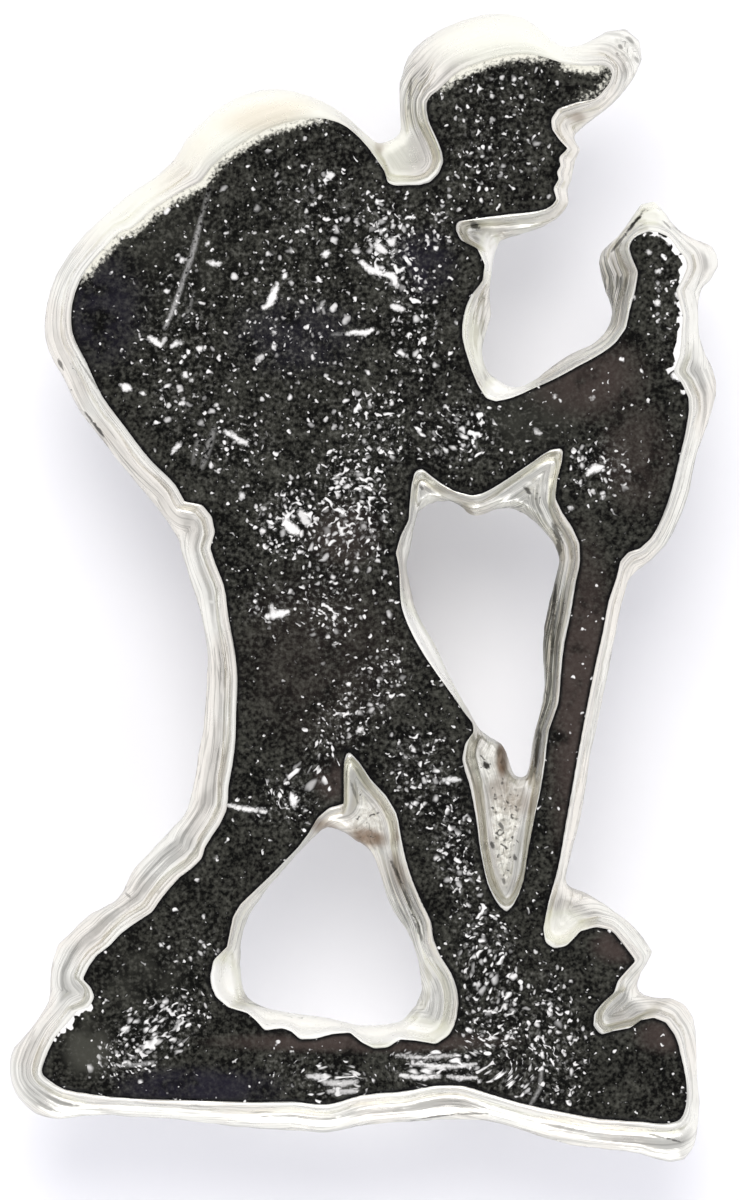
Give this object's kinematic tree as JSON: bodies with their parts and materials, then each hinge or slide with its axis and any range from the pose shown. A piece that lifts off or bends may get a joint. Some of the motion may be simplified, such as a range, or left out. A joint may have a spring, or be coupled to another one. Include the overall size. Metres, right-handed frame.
{
  "type": "pin badge in the shape of a hiker",
  "caption": "Cast metal pin badge: a hiker with peaked cap, big backpack and walking stick on rocky ground, black lacquered face, silver walls, post and round clutch at the back.",
  "frame": {"origin": "centre of the clutch's foot, on the surface that the badge rests on; the post stands on the same axis", "axes": "+Z is the way the badge's face looks, +Y runs from the figure's feet to its cap, and +X is the way the figure walks"},
  "size_m": [0.0178, 0.0289, 0.0067],
  "materials": {
    "silver_cast": "cast and silver plated, worn bright, soft grey in the hollows",
    "black_lacquer": "thin black lacquer over pebbled metal, with bright flecks worn through",
    "clutch_metal": "plated, satin bright"
  },
  "bodies": {
    "root": {"cast_body": "silver_cast", "black_face": "black_lacquer", "pin_clutch": "clutch_metal"}
  },
  "joints": []
}
